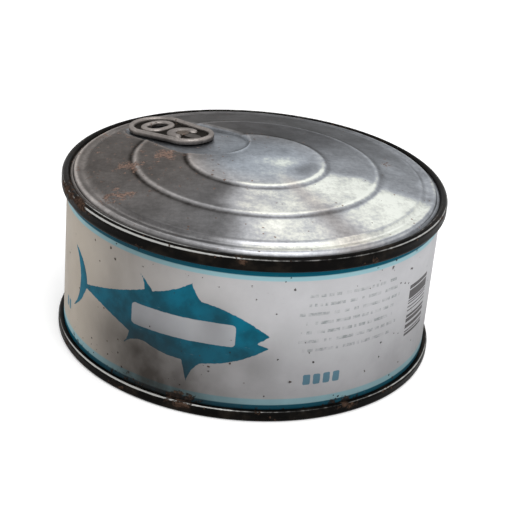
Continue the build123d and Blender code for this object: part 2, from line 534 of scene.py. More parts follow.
class Shading(Graph):
    """One material in the making, with its surface shader and the place on the piece."""

    spot_reach: Span = (0.04, 0.24)
    spot_edge: float = 0.08
    patch_edge: Span = (0.87, 0.95)
    speck_chance: float = 1.6

    def __init__(self, name: str) -> None:
        """Starts the material.

        Args:
            name: The material's name.
        """
        self.material = bpy.data.materials.new(name)
        super().__init__(self.material)
        self.shader = self.add("ShaderNodeBsdfPrincipled")
        self.add("ShaderNodeOutputMaterial", {"Surface": self.shader.outputs["BSDF"]})
        self.place = self.add("ShaderNodeTexCoord").outputs["Object"]

    def mix(self, share: object, first: object, second: object) -> Socket:
        """The first colour, going over to the second as the share goes from 0 to 1."""
        return self.add("ShaderNodeMix", {0: share, 6: first, 7: second}, data_type="RGBA").outputs[2]

    def darken(self, colour: object, by: object) -> Socket:
        """The colour multiplied by one minus the value."""
        keep = self.math("SUBTRACT", 1.0, by, clamp=True)
        return self.add("ShaderNodeVectorMath", {0: colour, "Scale": keep}, operation="SCALE").outputs[0]

    def attribute(self, name: str) -> Socket:
        """A scalar that the mesh carries."""
        return self.add("ShaderNodeAttribute", attribute_name=name).outputs["Fac"]

    def sized(self, size: Size) -> Socket:
        """The place divided by a size in millimetres, one number or one for each axis."""
        factors = tuple(1 / (s * MM) for s in (size if isinstance(size, tuple) else (size,) * 3))
        return self.add("ShaderNodeVectorMath", {0: self.place, 1: factors}, operation="MULTIPLY").outputs[0]

    def noise(self, size: Size, detail: float = 4.0, rough: float = 0.55) -> Socket:
        """Cloudy noise from 0 to 1.

        Args:
            size: The size of its coarsest clouds in millimetres.
            detail: The number of finer octaves.
            rough: How strong the finer octaves are.

        Returns:
            The noise's socket.
        """
        values = {"Vector": self.sized(size), "Scale": 1.0, "Detail": detail, "Roughness": rough}
        return self.add("ShaderNodeTexNoise", values).outputs[0]

    def clouds(self, look: Clouds) -> Socket:
        """The noise seen through its ramp."""
        noise = self.noise(look.size, look.detail, look.rough)
        return self.ramp(noise, look.low, look.high, look.start, look.end)

    def specks(self, spacing: float, share: object, ragged: float = 0.7) -> Socket:
        """Scattered ragged spots: in each cell of a Voronoi pattern a spot of its own size, or none.

        Args:
            spacing: The size of a cell in millimetres.
            share: The part of the cells that hold a spot.
            ragged: How far noise eats into the spots.

        Returns:
            A mask from 0 to 1.
        """
        least, more = self.spot_reach
        cells = self.add("ShaderNodeTexVoronoi", {"Vector": self.sized(spacing), "Scale": 1.0})
        random = self.add("ShaderNodeSeparateColor", {0: cells.outputs["Color"]})
        chosen = self.math("LESS_THAN", random.outputs[0], share)
        reach = self.plus(random.outputs[1], more, least + ragged * 0.5)
        eaten = self.plus(self.noise(spacing * 0.3, 3.0, 0.65), ragged, cells.outputs["Distance"])
        return self.times(self.ramp(self.math("SUBTRACT", reach, eaten), 0.0, self.spot_edge), chosen)

    def rust(self, share: object, spacing: float) -> Socket:
        """Rust: ragged patches where fine cloudy noise and the share together pass a threshold, and specks.

        Args:
            share: How rusty the place is, from 0 to 1.
            spacing: The spacing of the specks in millimetres; the patches' clouds are half as large again.

        Returns:
            A mask from 0 to 1.
        """
        patches = self.ramp(self.math("ADD", self.noise(spacing * 1.5, 7.0, 0.72), share), *self.patch_edge)
        return self.math("MAXIMUM", patches, self.specks(spacing, self.times(share, self.speck_chance)))

    def surface(self, colour: object, *, roughness: object, bump: object, depth: float,
                metallic: object = 0.0, specular: float = 0.5) -> Material:
        """Connects the shader.

        Args:
            colour: The base colour.
            roughness: The roughness.
            bump: A height from 0 to 1.
            depth: The bump's height in millimetres.
            metallic: The share of bare metal.
            specular: The strength of the mirror of what isn't metal.

        Returns:
            The finished material.
        """
        height = {"Height": bump, "Strength": 1.0, "Distance": depth * MM}
        normal = self.add("ShaderNodeBump", height).outputs[0]
        inputs = {"Base Color": colour, "Metallic": metallic, "Roughness": roughness,
                  "Specular IOR Level": specular, "Normal": normal}
        for name, value in inputs.items():
            self.feed(self.shader.inputs[name], value)
        return self.material


# ---------------------------------------------------------------- finishes


@dataclass(frozen=True)
class Rust:
    """Rust in patches and specks, in two tones that go over into each other in clouds."""

    light: Colour
    dark: Colour
    spacing: float
    tones: Clouds
    cover: float = 1.0

    def over(self, draw: Shading, colour: object) -> tuple[Socket, Socket]:
        """Lays the rust over a colour where the piece's rust scalar asks for it.

        Args:
            draw: The material in the making.
            colour: The colour underneath.

        Returns:
            The new colour, and the mask of the rust.
        """
        spots = draw.rust(draw.attribute("rust"), self.spacing)
        tone = draw.mix(draw.clouds(self.tones), self.dark, self.light)
        return draw.mix(draw.times(spots, self.cover), colour, tone), spots


@dataclass(frozen=True)
class BlockRow:
    """A row of equal plain blocks with rounded corners, in place of words or figures."""

    ink: Colour
    cover: float
    start: float
    pitch: float
    count: int
    height: float
    half_width: float
    half_height: float
    corner: float
    fray: float = 0.3
    edge: float = 0.06

    def mask(self, draw: Shading, arc: object, height: object, ragged: object) -> Socket:
        """Draws the row.

        The place is folded into the first block's quarter, and its distance to the rounded corner is ramped.

        Args:
            draw: The material in the making.
            arc: Distance round the wall from the panel's centre, in millimetres.
            height: Height in millimetres.
            ragged: Noise that frays the edges.

        Returns:
            The mask of the blocks.
        """
        cell = draw.math("DIVIDE", draw.math("SUBTRACT", arc, self.start), self.pitch)
        in_row = draw.math("COMPARE", cell, self.count / 2, self.count / 2)
        across = draw.math("ABSOLUTE", draw.math("SUBTRACT", draw.math("FRACT", cell), 0.5))
        over_x = draw.plus(across, self.pitch, self.corner - self.half_width)
        upward = draw.math("ABSOLUTE", draw.math("SUBTRACT", height, self.height))
        over_y = draw.math("ADD", upward, self.corner - self.half_height)
        square = [draw.math("POWER", draw.math("MAXIMUM", over, 0.0), 2.0) for over in (over_x, over_y)]
        outside = draw.math("SQRT", draw.math("ADD", *square))
        frayed = draw.plus(ragged, self.fray, draw.math("SUBTRACT", outside, self.corner + self.fray / 2))
        return draw.times(draw.ramp(frayed, self.edge, -self.edge), in_row)


@dataclass(frozen=True)
class PrintFinish:
    """Lacquered print: bands, a fish, plain blocks in place of words, rows of dashes and a ladder of bars."""

    ground: Colour = srgb("C3C3C6")
    warm: Colour = srgb("BDB3A6")
    teal: Colour = srgb("00708A")
    deep_teal: Colour = srgb("00566A")
    pale_teal: Colour = srgb("93BFC8")
    grey_ink: Colour = srgb("7F8686")
    bar_ink: Colour = srgb("464344")
    # the colour that dirt and painted shade darken the wall towards
    dark_dirt_shade: Colour = srgb("221C17")
    bare: Colour = srgb("8D8A86")
    specular: float = 0.06
    pale_bands: Span = (6.1, 38.5)
    pale_cover: float = 0.9
    dark_bands: Span = (4.4, 39.7)
    band_edge: float = 0.3
    ink_fray: float = 0.5
    ink_edge: Span = (0.38, 0.24)
    lines_low: float = 19.4
    line_pitch: float = 2.5
    line_share: float = 0.34
    lines: int = 7
    line_raggedness: float = 2.4
    letter_pitch: float = 0.7
    letter_gaps: float = 0.24
    lines_start: float = 36.3
    lines_width: float = 30.6
    title: BlockRow = BlockRow(ground, 0.93, -6.8, 28.0, 1, 23.0, 13.9, 3.0, 1.1)
    weight: BlockRow = BlockRow(teal, 0.78, 38.45, 2.7, 4, 11.1, 0.95, 1.45, 0.4)
    stamp: BlockRow = BlockRow(teal, 0.78, -39.0, 2.2, 2, 12.0, 0.75, 1.4, 0.3)
    ladder_centre: Span = (77.3, 22.3)
    ladder_size: Span = (10.8, 15.2)
    ladder_module: float = 0.36
    ladder_gaps: float = 0.36
    ladder_cover: float = 0.9
    teal_clouds: Clouds = Clouds(5.0, 0.35, 0.7)
    faded: Clouds = Clouds(1.6, 0.38, 0.66, 0.1, 0.75, rough=0.7)
    dirt_shade_clouds: Clouds = Clouds((8.0, 8.0, 9.0), 0.3, 0.7, 0.92, 1.06, 3.0, 0.5)
    most_dirt_shade: float = 0.95
    scratches: Clouds = Clouds((3.0, 3.0, 0.22), 0.69, 0.74, 0.0, 0.3, 3.0, 0.7)
    rust: Rust = Rust(srgb("48382E"), srgb("231C18"), 1.3, Clouds(0.9, 0.45, 0.66), 0.92)

    def within(self, draw: Shading, value: object, centre: float, half: float) -> Socket:
        """1 where the value is within half of the centre, else 0."""
        return draw.math("COMPARE", value, centre, half)

    def white_noise(self, draw: Shading, value: object) -> Socket:
        """A number from 0 to 1 drawn for each value."""
        return draw.add("ShaderNodeTexWhiteNoise", {"W": value}, noise_dimensions="1D").outputs[0]

    def greeked(self, draw: Shading, arc: object, height: object) -> Socket:
        """Rows of short dashes, as print too small to read: a random part of equal cells in each row.

        Args:
            draw: The material in the making.
            arc: Distance round the wall from the panel's centre, in millimetres.
            height: Height in millimetres.

        Returns:
            The mask of the dashes.
        """
        above = draw.math("SUBTRACT", height, self.lines_low - self.line_pitch / 2)
        line = draw.math("DIVIDE", above, self.line_pitch)
        row = draw.math("FLOOR", line)
        cell = draw.math("FLOOR", draw.math("DIVIDE", arc, self.letter_pitch))
        joined = draw.add("ShaderNodeCombineXYZ", {0: cell, 1: row}).outputs[0]
        letter = draw.add("ShaderNodeTexWhiteNoise", {"Vector": joined}, noise_dimensions="2D").outputs[0]
        centre = self.lines_start + self.lines_width / 2
        reach = draw.plus(self.white_noise(draw, row), -self.line_raggedness, self.lines_width / 2)
        shown = draw.math("GREATER_THAN", letter, self.letter_gaps)
        for mask in (
            self.within(draw, draw.math("FRACT", line), 0.5, self.line_share / 2),
            draw.math("LESS_THAN", draw.math("ABSOLUTE", draw.math("SUBTRACT", arc, centre)), reach),
            self.within(draw, row, (self.lines - 1) / 2, (self.lines - 0.5) / 2),
        ):
            shown = draw.times(shown, mask)
        return shown

    def ladder(self, draw: Shading, arc: object, height: object) -> Socket:
        """Bars across a tall field: equal thin modules, each dark or light at random.

        Args:
            draw: The material in the making.
            arc: Distance round the wall from the panel's centre, in millimetres.
            height: Height in millimetres.

        Returns:
            The mask of the bars.
        """
        module = draw.math("FLOOR", draw.math("DIVIDE", height, self.ladder_module))
        mask = draw.math("GREATER_THAN", self.white_noise(draw, module), self.ladder_gaps)
        for value, centre, size in zip((arc, height), self.ladder_centre, self.ladder_size):
            mask = draw.times(mask, self.within(draw, value, centre, size / 2))
        return mask

    def printed(self, draw: Shading, colour: object, height: object, ragged: object) -> Socket:
        """Prints the bands, the fish, the blocks, the dashes and the ladder on a ground.

        Args:
            draw: The material in the making.
            colour: The ground.
            height: Height in millimetres.
            ragged: Noise that frays the edges.

        Returns:
            The printed colour.
        """
        arc, back_arc = draw.attribute("front_arc"), draw.attribute("back_arc")
        bands = ((self.pale_bands, self.pale_teal, self.pale_cover), (self.dark_bands, self.deep_teal, 1.0))
        for (low, high), ink, cover in bands:
            below = draw.ramp(height, low, low - self.band_edge)
            above = draw.ramp(height, high, high + self.band_edge)
            colour = draw.mix(draw.times(draw.math("MAXIMUM", below, above), cover), colour, ink)
        teal = draw.mix(draw.clouds(self.teal_clouds), self.teal, self.deep_teal)
        fish = draw.ramp(draw.plus(ragged, self.ink_fray, draw.attribute("fish")), *self.ink_edge)
        colour = draw.mix(fish, colour, teal)
        for row in (self.title, self.weight, self.stamp):
            for side in (arc, back_arc):
                blocks = draw.times(row.mask(draw, side, height, ragged), row.cover)
                colour = draw.mix(blocks, colour, row.ink)
        lines = draw.math("MAXIMUM", self.greeked(draw, arc, height), self.greeked(draw, back_arc, height))
        colour = draw.mix(draw.times(lines, draw.clouds(self.faded)), colour, self.grey_ink)
        return draw.mix(draw.times(self.ladder(draw, arc, height), self.ladder_cover), colour, self.bar_ink)

    def material(self) -> Material:
        """The finish as a material; it reads the wall's own scalars.

        Returns:
            The material.
        """
        draw = Shading("printed_lacquer")
        height = draw.times(draw.add("ShaderNodeSeparateXYZ", {0: draw.place}).outputs[2], 1 / MM)
        ragged = draw.noise(1.1, 3.0)
        cloud = draw.noise(15.0, 5.0, 0.6)
        colour = draw.mix(draw.attribute("stain"), self.ground, self.warm)
        colour = draw.darken(colour, draw.ramp(cloud, 0.35, 0.7, 0.0, 0.1))
        colour = self.printed(draw, colour, height, ragged)
        colour = draw.mix(draw.ramp(draw.attribute("weld"), 0.35, 0.65), colour, self.bare)
        # dirt with painted shade: darker towards the foot, on one side and in patches
        dirt_shade_amount = draw.times(draw.attribute("dirt_shade_share"), draw.clouds(self.dirt_shade_clouds))
        colour = draw.mix(draw.math("MINIMUM", dirt_shade_amount, self.most_dirt_shade), colour, self.dark_dirt_shade)
        colour = draw.mix(draw.clouds(self.scratches), colour, self.bare)
        colour, spots = self.rust.over(draw, colour)
        roughness = draw.plus(spots, 0.3, draw.ramp(cloud, 0.3, 0.8, 0.45, 0.6))
        bump = draw.plus(spots, 0.8, draw.times(ragged, 0.25))
        return draw.surface(colour, roughness=roughness, bump=bump, depth=0.12, specular=self.specular)


@dataclass(frozen=True)
class LacquerFinish:
    """Black lacquer on a seam, worn bright on its edges with painted highlight lines there, and chipped down
    to rust.
    """

    black: Colour = srgb("090807")
    dusty: Colour = srgb("231E19")
    # worn metal, also the colour of the painted highlight lines along the seam's edges
    bare: Colour = srgb("BDBDBA")
    rust: Rust = Rust(srgb("4C3B31"), srgb("271E18"), 1.5, Clouds(0.8, 0.38, 0.62))
    specular: float = 0.04

    def material(self) -> Material:
        """The finish as a material; it reads the seam's wear-and-highlight and rust scalars.

        Returns:
            The material.
        """
        draw = Shading("seam_lacquer")
        cloud = draw.noise(6.0, 6.0, 0.65)
        colour = draw.mix(draw.ramp(cloud, 0.45, 0.75), self.black, self.dusty)
        # worn metal and painted highlight lines along the seam's edges
        bared_and_highlit = draw.plus(draw.noise(3.0, 5.0, 0.7), 0.5, draw.attribute("scuff_and_highlight"))
        bared_and_highlit = draw.ramp(bared_and_highlit, 0.55, 0.85, 0.0, 0.85)
        colour, chips = self.rust.over(draw, draw.mix(bared_and_highlit, colour, self.bare))
        roughness = draw.plus(chips, 0.45, draw.ramp(cloud, 0.3, 0.8, 0.3, 0.48))
        bump = draw.plus(chips, -0.8, draw.times(cloud, 0.3))
        metallic = draw.times(bared_and_highlit, 0.6)
        return draw.surface(colour, metallic=metallic, roughness=roughness, bump=bump, depth=0.12,
                            specular=self.specular)


@dataclass(frozen=True)
class SteelFinish:
    """Bare rolled steel whose brightness carries painted reflection and shade, mottled by clouds and grain,
    with rust specks.
    """

    name: str
    roughness: float = 0.4
    contrast: float = 0.4
    lift: float = 0.25
    # the colour where the painted sheen is nil: painted shade on the steel
    shaded_steel: Colour = srgb("17130F")
    cool: Colour = srgb("E0E9F4")
    bright: Colour = srgb("F2F8F2")
    warm: Colour = srgb("F3E2D4")
    edge: Colour = (0.5, 0.5, 0.5)
    grain: Clouds = Clouds((0.5, 7.0, 7.0), 0.3, 0.7, 0.975, 1.025, 3.0, 0.6)
    fine: Clouds = Clouds(1.2, 0.35, 0.65, 0.88, 1.1, 5.0, 0.7)
    relief_shade_clouds: Clouds = Clouds(1.8, 0.3, 0.7, 0.6, 1.2, 5.0, 0.7)
    scratches: Clouds = Clouds((4.0, 0.3, 4.0), 0.3, 0.7, -0.015, 0.025, 2.0, 0.6)
    rust: Rust = Rust(srgb("83685A"), srgb("44362F"), 1.4, Clouds(0.7, 0.38, 0.62), 0.85)

    def material(self) -> Material:
        """The finish as a material; it reads the piece's painted sheen, warmth, relief shading and rust
        scalars.

        Returns:
            The material.
        """
        draw = Shading(self.name)
        cloud = draw.noise(9.0, 7.0, 0.62)
        # relief shading: painted highlight on crests and painted shade in hollows, broken up by clouds
        relief = draw.times(draw.attribute("relief"), draw.clouds(self.relief_shade_clouds))
        # painted reflection and shade from the piece's sheen scalar, mottled by real clouds and grain
        painted_sheen = draw.attribute("painted_sheen")
        factors = [draw.ramp(cloud, 0.3, 0.72, 0.76, 1.22), draw.clouds(self.grain), draw.clouds(self.fine)]
        for factor in (*factors, draw.plus(relief, self.contrast, 1.0)):
            painted_sheen = draw.times(painted_sheen, factor)
        painted_sheen = draw.math("MULTIPLY_ADD", relief, self.contrast * self.lift, painted_sheen, clamp=True)
        steel = draw.mix(draw.ramp(painted_sheen, 0.5, 0.85), self.cool, self.bright)
        steel = draw.mix(draw.attribute("warmth"), steel, self.warm)
        colour, spots = self.rust.over(draw, draw.mix(painted_sheen, self.shaded_steel, steel))
        metallic = draw.plus(spots, -self.rust.cover, 1.0)
        roughness = draw.math("ADD", draw.plus(spots, 0.4, self.roughness), draw.clouds(self.scratches))
        bump = draw.plus(spots, 0.6, draw.times(cloud, 0.35))
        draw.feed(draw.shader.inputs["Specular Tint"], self.edge)
        return draw.surface(colour, metallic=metallic, roughness=roughness, bump=bump, depth=0.08)


def settle(piece: Piece, slot: Slot, finish: Material, *nodes: str) -> Piece:
    """Dresses a piece, lets it ride on the can and hides the nodes that it stands for.

    Args:
        piece: The finished object.
        slot: The record's material slot; it is not used.
        finish: Its material.
        *nodes: The nodes that it replaces.

    Returns:
        The piece.
    """
    piece.data.materials.append(finish)
    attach(piece, BODY)
    if nodes:
        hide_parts(*nodes)
    return piece


# ---------------------------------------------------------------- wall


@dataclass(frozen=True)
class Stretch:
    """One stretch of an outline: where it ends, and how far it bulges outwards as a share of its chord."""

    x: float
    y: float
    bulge: float = 0.0


FISH = (
    Stretch(12.1, 31.1, 0.065), Stretch(9.6, 35.6, -0.06), Stretch(2.3, 31.7, -0.04), Stretch(-0.8, 30.6),
    Stretch(-4.7, 34.5, 0.03), Stretch(-3.1, 30.4, -0.11), Stretch(-24.6, 23.1, -0.012),
    Stretch(-32.0, 31.6, 0.14), Stretch(-28.2, 22.4, -0.1), Stretch(-32.6, 13.5, -0.12),
    Stretch(-24.9, 22.0, 0.09), Stretch(-7.3, 17.4, -0.04), Stretch(-9.3, 13.2, -0.08),
    Stretch(-2.5, 16.2, -0.12), Stretch(8.1, 14.4, 0.05), Stretch(9.5, 8.6), Stretch(12.7, 14.3, -0.08),
    Stretch(29.3, 20.2, 0.06), Stretch(26.3, 21.5), Stretch(29.4, 23.4),
)


def outline(stretches: tuple[Stretch, ...], steps: int = 8) -> np.ndarray:
    """The closed line through the stretches' ends.

    Each stretch is a quadratic curve whose control point stands off its chord's middle by twice the bulge.

    Args:
        stretches: The stretches, anticlockwise.
        steps: The number of points on each.

    Returns:
        Points as x and y.
    """
    ends = np.array([(s.x, s.y) for s in stretches])
    starts = np.roll(ends, 1, axis=0)
    chord = ends - starts
    normal = np.column_stack([chord[:, 1], -chord[:, 0]])
    control = (starts + ends) / 2 + 2 * np.array([[s.bulge] for s in stretches]) * normal
    t = np.linspace(0, 1, steps, endpoint=False)[None, :, None]
    line = (1 - t) ** 2 * starts[:, None] + 2 * t * (1 - t) * control[:, None] + t ** 2 * ends[:, None]
    return line.reshape(-1, 2)


def distance_to(line: np.ndarray, x: np.ndarray, y: np.ndarray, limit: float = 2.0) -> np.ndarray:
    """Signed distance to a closed line, negative inside, and no more than the limit.

    The distance is the least one to any straight piece. A point is inside when a ray to its right crosses the
    line an odd number of times.

    Args:
        line: The line's points as x and y.
        x: Positions.
        y: Positions.
        limit: The largest distance that matters.

    Returns:
        The distance at each position.
    """
    result = np.full(x.shape, limit)
    low, high = line.min(axis=0) - limit, line.max(axis=0) + limit
    near = (x > low[0]) & (x < high[0]) & (y > low[1]) & (y < high[1])
    px, py = x[near][:, None], y[near][:, None]
    ax, ay = line.T
    bx, by = np.roll(line, -1, axis=0).T
    dx, dy = bx - ax, by - ay
    share = np.clip(((px - ax) * dx + (py - ay) * dy) / (dx ** 2 + dy ** 2), 0, 1)
    least = np.hypot(px - ax - share * dx, py - ay - share * dy).min(axis=1)
    crossing = (ay > py) != (by > py)
    reach = ax + (py - ay) * dx / np.where(dy == 0, 1e-9, dy)
    inside = (crossing & (px < reach)).sum(axis=1) % 2 == 1
    result[near] = np.minimum(np.where(inside, -least, least), limit)
    return result


@dataclass(frozen=True)
class DirtAndShade:
    """Darkening of the wall, dirt with painted shade: towards its foot, on one side and in some patches."""

    # darker towards the foot
    foot: float = 0.46
    foot_heights: Span = (4.0, 37.0)
    foot_level: RoundLevel = RoundLevel(1.0, ((-0.95, 192, 14),))
    # one side darker, partly dirt and partly painted shade
    dark_side_azimuth: float = 231.0
    dark_side_lean: float = 8.0
    lean_heights: Span = (6.0, 24.0)
    dark_side_sharpness: float = 14.0
    dark_dirt_shade: float = 0.46
    side_extra_low: float = 0.39
    low_heights: Span = (12.0, 24.0)
    patches: tuple[Patch, ...] = (
        Patch(256, 25, 3.5, 6, 0.35), Patch(268, 17, 5, 4, 0.3), Patch(60, 8, 14, 5, 0.5),
        Patch(120, 12, 9, 7, 0.4),
    )

    def at(self, angle: np.ndarray, height: np.ndarray, radius: float) -> np.ndarray:
        """How dark the wall is made, by dirt and painted shade.

        What stays undarkened by the foot's darkening, by the darker side and by the patches is multiplied.
        The darker side lies stronger and further round near the foot.

        Args:
            angle: Angles in radians.
            height: Heights in millimetres.
            radius: The wall's radius.

        Returns:
            The darkening, from 0 to 1.
        """
        foot = self.foot * fading(*self.foot_heights, height) * self.foot_level.at(angle)
        towards = self.dark_side_azimuth + self.dark_side_lean * fading(*self.lean_heights, height)
        strength = self.dark_dirt_shade + self.side_extra_low * fading(*self.low_heights, height)
        side_darkening = lobe(angle, towards, self.dark_side_sharpness) * strength
        patches = sum(patch.on_wall(angle, height, radius) for patch in self.patches)
        return 1 - (1 - foot) * (1 - side_darkening) * np.clip(1 - patches, 0, 1)


@dataclass
class PrintedWall:
    """The can's wall, with small dents, a side weld and the fields of its print."""

    radius: float = 50.0
    low: float = 2.85
    high: float = 42.1
    rows: int = 130
    columns: int = 720
    weld_azimuth: float = 160.0
    weld_half_width: float = 1.6
    weld_ridge: float = 0.1
    panel_azimuths: Span = (238.0, 418.0)
    stain: RoundLevel = RoundLevel(0.0, ((1.0, 200, 4),))
    dirt_and_shade: DirtAndShade = DirtAndShade()
    finish: PrintFinish = PrintFinish()
    dents: tuple[Patch, ...] = (
        Patch(234, 11, 5, 4, 0.45), Patch(256, 25, 4, 6, 0.3), Patch(300, 27, 10, 6, 0.25),
        Patch(215, 30, 7, 5, 0.3), Patch(75, 24, 8, 7, 0.45), Patch(20, 14, 5, 6, 0.35),
        Patch(125, 33, 6, 4, 0.3),
    )
    rust: float = 0.05
    edge_rust: float = 0.2
    rusty_edges: tuple[Span, Span] = ((3.4, 1.3), (41.2, 1.0))
    rusted: tuple[Patch, ...] = (
        Patch(247, 4, 3.4, 2.4, 0.22), Patch(297, 3.5, 3.8, 2.0, 0.2), Patch(279, 10.8, 1.0, 0.6, 0.45),
        Patch(251, 9, 5, 4, 0.1), Patch(255, 14.5, 2.5, 2.5, 0.12), Patch(238, 36, 6, 3, 0.1),
        Patch(223, 35, 0.8, 0.6, 0.4), Patch(249, 38, 2.4, 1.2, 0.24), Patch(310, 38, 0.7, 0.6, 0.45),
        Patch(320, 35, 0.6, 0.6, 0.45), Patch(252, 17, 4, 2, 0.14), Patch(228, 6, 7, 3, 0.16),
        Patch(196, 12, 1.2, 2, 0.3), Patch(204, 6, 5, 2.5, 0.2), Patch(30, 5, 4, 3, 0.3),
        Patch(100, 37, 5, 3, 0.24), Patch(150, 9, 4, 4, 0.24),
    )

    def build(self) -> Piece:
        """Builds the wall: height along the rows, angle along the columns.

        The radius at a point is the wall's radius, less each dent's bell, plus the weld's low ridge.

        Returns:
            The dressed wall.
        """
        start = math.radians(self.weld_azimuth)
        height, angle = np.meshgrid(
            np.linspace(self.low, self.high, self.rows),
            start + np.linspace(0, 2 * np.pi, self.columns, endpoint=False),
            indexing="ij",
        )
        arc = (angle - start) * self.radius
        to_weld = np.minimum(arc, 2 * np.pi * self.radius - arc)
        front, back = ((angle - math.radians(azimuth)) * self.radius for azimuth in self.panel_azimuths)
        fish = outline(FISH)
        edges = sum(band(height, *edge) for edge in self.rusty_edges)
        dents, rust = (
            sum(patch.on_wall(angle, height, self.radius) for patch in patches)
            for patches in (self.dents, self.rusted)
        )
        values = {
            "weld": fading(0, 2 * self.weld_half_width, to_weld),
            "front_arc": front,
            "back_arc": back,
            "fish": np.minimum(distance_to(fish, front, height), distance_to(fish, back, height)),
            "stain": self.stain.at(angle),
            # darkening by dirt with painted shade
            "dirt_shade_share": self.dirt_and_shade.at(angle, height, self.radius),
            "rust": self.rust + self.edge_rust * edges + rust,
        }
        radius = self.radius - dents + self.weld_ridge * band(to_weld, 0, self.weld_half_width)
        points = np.stack([radius * np.cos(angle), radius * np.sin(angle), height], axis=-1)
        piece = grid_piece("can_wall", points, values, capped=True)
        return settle(piece, Slot.WALL, self.finish.material(), "can_body")


# ---------------------------------------------------------------- seams and panels


@dataclass
class DoubleSeam:
    """A rolled double seam: a closed ring whose section is a rounded hook over the wall's edge.

    An edge with wear and a painted highlight is a radius, a height and a strength. A wave is a strength,
    a number of waves round the can and a phase in radians.
    """

    name: str
    slot: Slot
    corners: list[Corner]
    scuffed_highlit_edges: tuple[tuple[float, float, float], ...]
    chips: tuple[Patch, ...]
    radius: float = 51.5
    columns: int = 480
    spacing: float = 0.16
    waviness: float = 0.03
    waves: tuple[tuple[float, int, float], ...] = ((1.0, 5, 1.0), (0.7, 9, 2.0), (0.5, 17, 0.0))
    scuff_highlight_spread: float = 0.2
    # the level of wear and painted highlight round the can
    scuff_highlight_level: RoundLevel = RoundLevel(0.45, ((0.85, 230, 8), (0.35, 325, 12), (0.5, 90, 3)))
    rust: float = 0.18
    finish: LacquerFinish = LacquerFinish()

    def build(self) -> Piece:
        """Builds the ring: round the section along the rows, round the can along the columns.

        The ring is a little uneven: its radius is less by the waviness times the share by which a sum of
        sines is under its highest value. The wear and painted highlight is a bell round each such edge, seen
        in the section, times a level that changes round the can.

        Returns:
            The dressed ring.
        """
        points = turned(rounded_profile(self.corners, self.spacing), self.columns)
        angle = np.arctan2(points[..., 1], points[..., 0])
        height, radius = points[..., 2], np.hypot(points[..., 0], points[..., 1])
        most = sum(strength for strength, _, _ in self.waves)
        waves = sum(strength * np.sin(count * angle + phase) for strength, count, phase in self.waves)
        dip = self.waviness * (most - waves) / (2 * most)
        points[..., :2] *= (1 - dip / radius)[..., None]
        scuff_and_highlight = sum(
            strength * bell(((radius - edge) ** 2 + (height - level) ** 2) / self.scuff_highlight_spread ** 2)
            for edge, level, strength in self.scuffed_highlit_edges
        )
        rust = self.rust + sum(chip.on_wall(angle, height, self.radius) for chip in self.chips)
        values = {"scuff_and_highlight": scuff_and_highlight * self.scuff_highlight_level.at(angle), "rust": rust}
        piece = grid_piece(self.name, points, values, capped=False)
        return settle(piece, self.slot, self.finish.material())


LID_SEAM = DoubleSeam(
    "lid_seam", Slot.LID,
    corners=[(49.0, 43.9, 0), (49.6, 41.9, 0.2), (50.4, 41.55, 0.3), (51.2, 41.5, 0.35), (51.5, 42.1, 0.4),
             (51.44, 43.0, 0.6), (51.5, 44.3, 0.6), (51.0, 45.05, 0.5), (50.3, 45.3, 0.35),
             (49.72, 45.0, 0.3), (49.4, 44.35, 0.3), (49.0, 44.0, 0)],
    scuffed_highlit_edges=((51.3, 44.75, 0.85), (50.3, 45.3, 0.5), (49.8, 45.1, 0.35), (51.3, 41.6, 0.25)),
    chips=(Patch(194, 44, 4.5, 1.3, 0.32), Patch(206, 44.3, 4, 1.0, 0.4), Patch(232, 42, 2.5, 1, 0.22),
           Patch(262, 44, 2, 1, 0.2), Patch(300, 42.2, 2.5, 1, 0.22), Patch(335, 44.4, 4, 0.8, 0.2),
           Patch(60, 44, 5, 1.3, 0.26), Patch(120, 43, 3, 1.2, 0.25)),
)
BASE_SEAM = DoubleSeam(
    "base_seam", Slot.BASE,
    corners=[(49.3, 1.2, 0), (49.75, 0.3, 0.3), (50.1, 0.02, 0.2), (51.0, 0.02, 0.4), (51.5, 0.7, 0.4),
             (51.44, 1.6, 0.5), (51.5, 2.4, 0.4), (51.1, 3.1, 0.35), (50.3, 3.0, 0.3), (49.3, 2.7, 0.2),
             (49.3, 1.3, 0)],
    scuffed_highlit_edges=((51.25, 2.95, 0.8), (51.3, 0.3, 0.3)),
    chips=(Patch(248, 2.6, 3.2, 1.0, 0.3), Patch(297, 2.2, 3.4, 1.0, 0.3), Patch(228, 1.2, 3, 0.8, 0.25),
           Patch(270, 2.8, 3, 0.8, 0.2), Patch(312, 2.8, 2, 0.8, 0.25), Patch(201, 1.5, 3, 1, 0.25),
           Patch(30, 2, 4, 1.2, 0.35), Patch(150, 1.5, 4, 1.2, 0.3)),
)


@dataclass(frozen=True)
class TabPlace:
    """Where the tab lies: the rivet's foot on the well's floor, and the floor's tilt down towards the rim."""

    azimuth: float = 135.0
    tilt: float = 5.6
    radial: float = 27.1
    height: float = 47.47

    @property
    def axes(self) -> np.ndarray:
        """The tab's along, across and up directions, one a row.

        Returns:
            The three unit vectors.
        """
        a, t = math.radians(self.azimuth), math.radians(self.tilt)
        out = np.array([math.cos(a), math.sin(a), 0.0])
        up = np.array([0.0, 0.0, 1.0])
        along = out * math.cos(t) - up * math.sin(t)
        normal = out * math.sin(t) + up * math.cos(t)
        return np.array([along, np.cross(normal, along), normal])

    @property
    def origin(self) -> np.ndarray:
        """The rivet's foot."""
        a = math.radians(self.azimuth)
        return np.array([self.radial * math.cos(a), self.radial * math.sin(a), self.height])

    def put(self, points: np.ndarray) -> np.ndarray:
        """Points of the tab's frame, in the can's frame."""
        return points @ self.axes + self.origin


